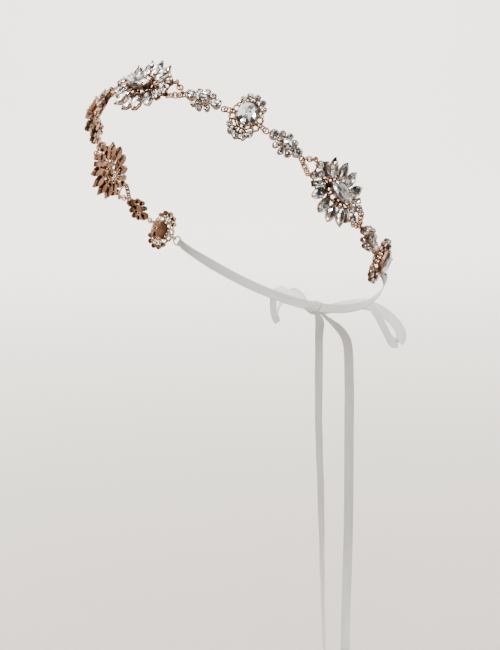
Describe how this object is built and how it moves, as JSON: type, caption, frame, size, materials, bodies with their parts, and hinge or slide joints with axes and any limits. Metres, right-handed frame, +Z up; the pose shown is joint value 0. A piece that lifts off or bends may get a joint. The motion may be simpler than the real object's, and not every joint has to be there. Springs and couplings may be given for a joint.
{
  "type": "jewelled headband",
  "caption": "Rose-gold headband of linked crystal clusters on a sloping oval, tied with a ribbon bow and two hanging ends at the back.",
  "frame": {"origin": "centre of the sloping oval that the backs of the ornaments lie on, where the wearer's head passes through", "axes": "+Z up, +Y to the back of the head, +X to the wearer's left; the oval is raised at the front and lowered at the back by 45.5 degrees about X"},
  "size_m": [0.1798, 0.1777, 0.4138],
  "materials": {
    "metal": "polished rose gold plate",
    "crystal": "clear foil-backed cut crystal",
    "ribbon": "white sheer satin"
  },
  "bodies": {
    "root": {"setting_1": "metal", "setting_2": "metal", "setting_3": "metal", "setting_4": "metal", "setting_5": "metal", "setting_6": "metal", "setting_7": "metal", "setting_8": "metal", "setting_9": "metal", "setting_10": "metal", "setting_11": "metal", "setting_12": "metal", "setting_13": "metal", "stone_1": "crystal", "stone_2": "crystal", "stone_3": "crystal", "stone_4": "crystal", "stone_5": "crystal", "stone_6": "crystal", "stone_7": "crystal", "stone_8": "crystal", "stone_9": "crystal", "stone_10": "crystal", "stone_11": "crystal", "stone_12": "crystal", "stone_13": "crystal", "accents_1": "crystal", "accents_2": "crystal", "accents_3": "crystal", "accents_4": "crystal", "accents_5": "crystal", "accents_6": "crystal", "accents_7": "crystal", "accents_8": "crystal", "accents_9": "crystal", "accents_10": "crystal", "accents_11": "crystal", "accents_12": "crystal", "accents_13": "crystal", "links_1": "metal", "links_2": "metal", "links_3": "metal", "links_4": "metal", "links_5": "metal", "links_6": "metal", "links_7": "metal", "links_8": "metal", "links_9": "metal", "links_10": "metal", "links_11": "metal", "links_12": "metal", "end_rings_left": "metal", "end_rings_right": "metal", "ribbon_left": "ribbon", "ribbon_right": "ribbon", "ribbon_knot": "ribbon", "bow_loop_left": "ribbon", "bow_loop_right": "ribbon", "tail_left": "ribbon", "tail_right": "ribbon"}
  },
  "joints": []
}
